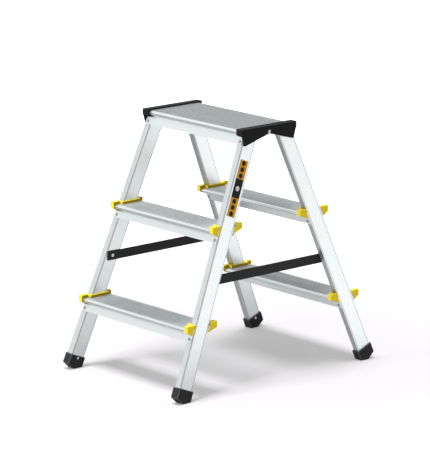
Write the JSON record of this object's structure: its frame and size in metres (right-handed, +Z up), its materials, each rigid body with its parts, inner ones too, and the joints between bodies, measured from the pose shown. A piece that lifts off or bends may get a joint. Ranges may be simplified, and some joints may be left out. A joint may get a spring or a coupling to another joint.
{
  "type": "double-sided step ladder",
  "caption": "Folding double-sided aluminium step ladder with ribbed treads, a shared top platform, plastic tread ends and covers, rubber feet and spreader straps.",
  "frame": {"origin": "on the floor, under the middle of the platform", "axes": "+X to the right along the treads, +Y to the rear frame, +Z up"},
  "size_m": [0.44, 0.6458, 0.63],
  "materials": {
    "aluminium_tube": "satin extruded",
    "aluminium_tread": "ribbed extruded",
    "yellow_plastic": "moulded",
    "black_plastic": "moulded, fine texture",
    "black_rubber": "matt moulded",
    "webbing": "woven webbing",
    "rivet_metal": "bright",
    "pin_steel": "zinc plated",
    "white_nylon": "moulded"
  },
  "bodies": {
    "front_frame": {"cover_pins": "pin_steel", "cover_screws": "rivet_metal", "front_foot_rivets": "rivet_metal", "front_left_foot": "black_rubber", "front_left_stile": "aluminium_tube", "front_lower_left_cap": "yellow_plastic", "front_lower_right_cap": "yellow_plastic", "front_lower_tread": "aluminium_tread", "front_right_foot": "black_rubber", "front_right_stile": "aluminium_tube", "front_strap_rivets": "rivet_metal", "front_tread_rivets": "rivet_metal", "front_upper_left_cap": "yellow_plastic", "front_upper_right_cap": "yellow_plastic", "front_upper_tread": "aluminium_tread", "hinge_pins": "pin_steel", "hinge_washers": "white_nylon", "left_end_cover": "black_plastic", "left_strap": "webbing", "platform_deck": "aluminium_tread", "platform_rivets": "rivet_metal", "right_end_cover": "black_plastic", "right_strap": "webbing"},
    "rear_frame": {"rear_foot_rivets": "rivet_metal", "rear_left_foot": "black_rubber", "rear_left_stile": "aluminium_tube", "rear_lower_left_cap": "yellow_plastic", "rear_lower_right_cap": "yellow_plastic", "rear_lower_tread": "aluminium_tread", "rear_right_foot": "black_rubber", "rear_right_stile": "aluminium_tube", "rear_strap_rivets": "rivet_metal", "rear_tread_rivets": "rivet_metal", "rear_upper_left_cap": "yellow_plastic", "rear_upper_right_cap": "yellow_plastic", "rear_upper_tread": "aluminium_tread"}
  },
  "joints": [
    {"name": "rear_fold", "type": "hinge", "parent": "front_frame", "child": "rear_frame", "pos_m": [0, 0.05791, 0.6018], "axis": [-1, 0, 0], "range_deg": [0, 44], "deforming": ["left_strap", "right_strap"]}
  ]
}
